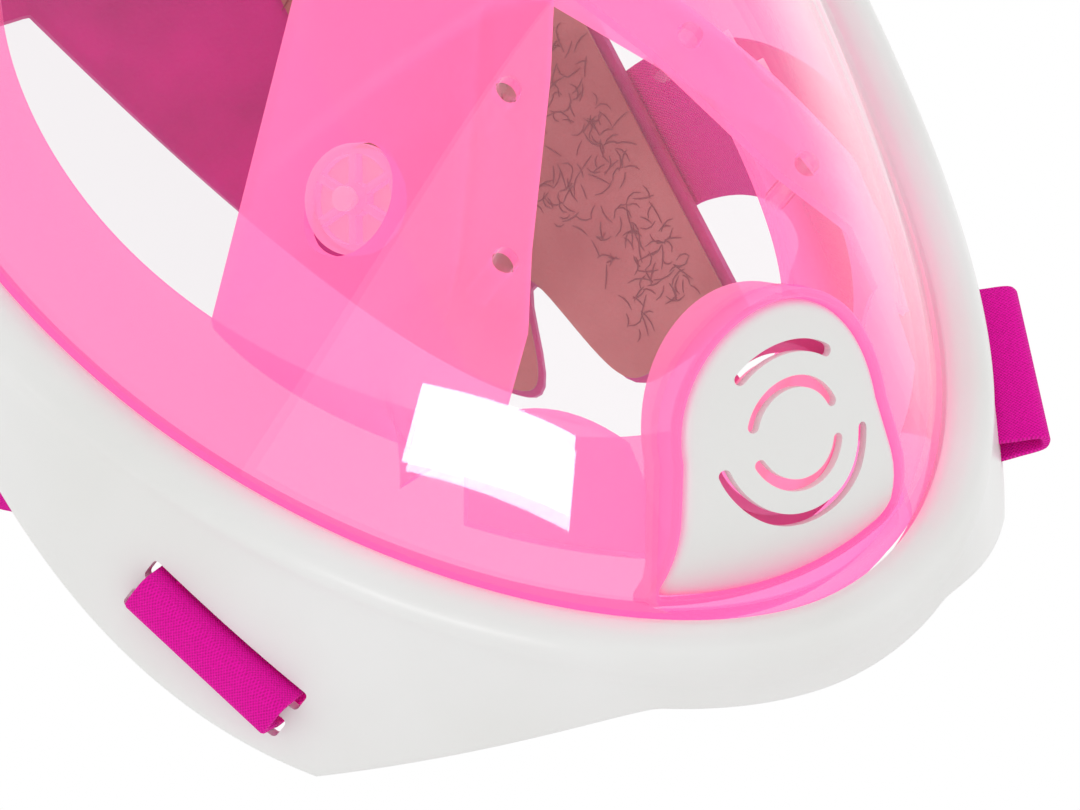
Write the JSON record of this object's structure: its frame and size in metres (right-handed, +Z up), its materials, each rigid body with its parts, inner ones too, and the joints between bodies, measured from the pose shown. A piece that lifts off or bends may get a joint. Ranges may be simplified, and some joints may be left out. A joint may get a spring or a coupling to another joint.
{
  "type": "full face snorkel",
  "caption": "Full face snorkel mask with a clear lens, white bezel, silicone skirt and pocket, chin purge valve, elastic harness and a plug-in tube with a float valve.",
  "frame": {"origin": "middle of the face opening, where the face meets the silicone lip", "axes": "+Z up along the worn head, -Y the way the wearer looks, +X towards the wearer's left"},
  "size_m": [0.1908, 0.2214, 0.5569],
  "materials": {
    "clear_lens": "clear polycarbonate, polished",
    "clear_peg": "clear moulded plastic",
    "white_shell": "white ABS, satin gloss",
    "white_inner": "white ABS, matt",
    "white_cover": "white ABS, fine satin",
    "white_tube": "white moulded tube",
    "pink_silicone": "translucent pink silicone",
    "pink_seal": "pink silicone seal",
    "valve_film": "thin pale silicone",
    "pink_plastic": "pink moulded plastic",
    "float_foam": "closed float shell",
    "steel": "stainless steel",
    "magenta_pad": "magenta laminated neoprene",
    "loop_lining": "dusty rose brushed loop",
    "magenta_webbing": "magenta elastic webbing"
  },
  "bodies": {
    "mask": {"lens": "clear_lens", "outer_frame": "white_shell", "clamp_ring": "white_inner", "clamp_screws": "steel", "face_skirt": "pink_silicone", "orinasal_pocket": "pink_silicone", "pocket_pegs": "clear_peg", "inhale_seat_left": "pink_silicone", "inhale_seat_right": "pink_silicone", "purge_cover": "white_cover", "purge_boss": "pink_silicone", "purge_seat": "pink_plastic", "tube_socket": "white_shell", "release_spring": "steel", "neck_gasket": "pink_seal", "rear_pad": "magenta_pad", "pad_lining_left": "loop_lining", "pad_lining_right": "loop_lining", "strap_lower_left": "magenta_webbing", "strap_lower_right": "magenta_webbing", "strap_upper_left": "magenta_webbing", "strap_upper_right": "magenta_webbing"},
    "snorkel": {"tube_plug": "white_shell", "plug_seal": "pink_seal", "snorkel_tube": "white_tube", "float_chamber": "pink_plastic", "intake_plate": "white_shell", "splash_cap": "pink_plastic"},
    "float": {"float_body": "float_foam", "float_seal": "pink_seal"},
    "button": {"release_button": "pink_plastic"},
    "purge_valve": {"purge_flap": "valve_film"},
    "inhale_valve_left": {"inhale_flap_left": "valve_film"},
    "inhale_valve_right": {"inhale_flap_right": "valve_film"},
    "exhale_valve_left": {"exhale_flap_left": "valve_film"},
    "exhale_valve_right": {"exhale_flap_right": "valve_film"}
  },
  "joints": [
    {"name": "tube_pull", "type": "slide", "parent": "mask", "child": "snorkel", "axis": [0, 0, 1], "range_m": [0, 0.024]},
    {"name": "float_rise", "type": "slide", "parent": "snorkel", "child": "float", "axis": [0, 0, 1], "range_m": [0, 0.012]},
    {"name": "release_press", "type": "slide", "parent": "mask", "child": "button", "axis": [0, 1, 0], "range_m": [0, 0.0025], "stiffness_N_per_m": 60, "springref_m": -0.0005, "deforming": ["release_spring"]},
    {"name": "purge_open", "type": "slide", "parent": "mask", "child": "purge_valve", "axis": [0, -0.8456, -0.5338], "range_m": [0, 0.0015], "stiffness_N_per_m": 40, "springref_m": -0.0004},
    {"name": "inhale_open_left", "type": "slide", "parent": "mask", "child": "inhale_valve_left", "axis": [-0.8362, 0.5484, 0], "range_m": [0, 0.0012], "stiffness_N_per_m": 30, "springref_m": -0.0004},
    {"name": "inhale_open_right", "type": "slide", "parent": "mask", "child": "inhale_valve_right", "axis": [0.8362, 0.5484, 0], "range_m": [0, 0.0012], "stiffness_N_per_m": 30, "springref_m": -0.0004},
    {"name": "exhale_open_left", "type": "slide", "parent": "mask", "child": "exhale_valve_left", "axis": [0, 0, 1], "range_m": [0, 0.0015], "stiffness_N_per_m": 20, "springref_m": -0.0004},
    {"name": "exhale_open_right", "type": "slide", "parent": "mask", "child": "exhale_valve_right", "axis": [0, 0, 1], "range_m": [0, 0.0015], "stiffness_N_per_m": 20, "springref_m": -0.0004}
  ]
}
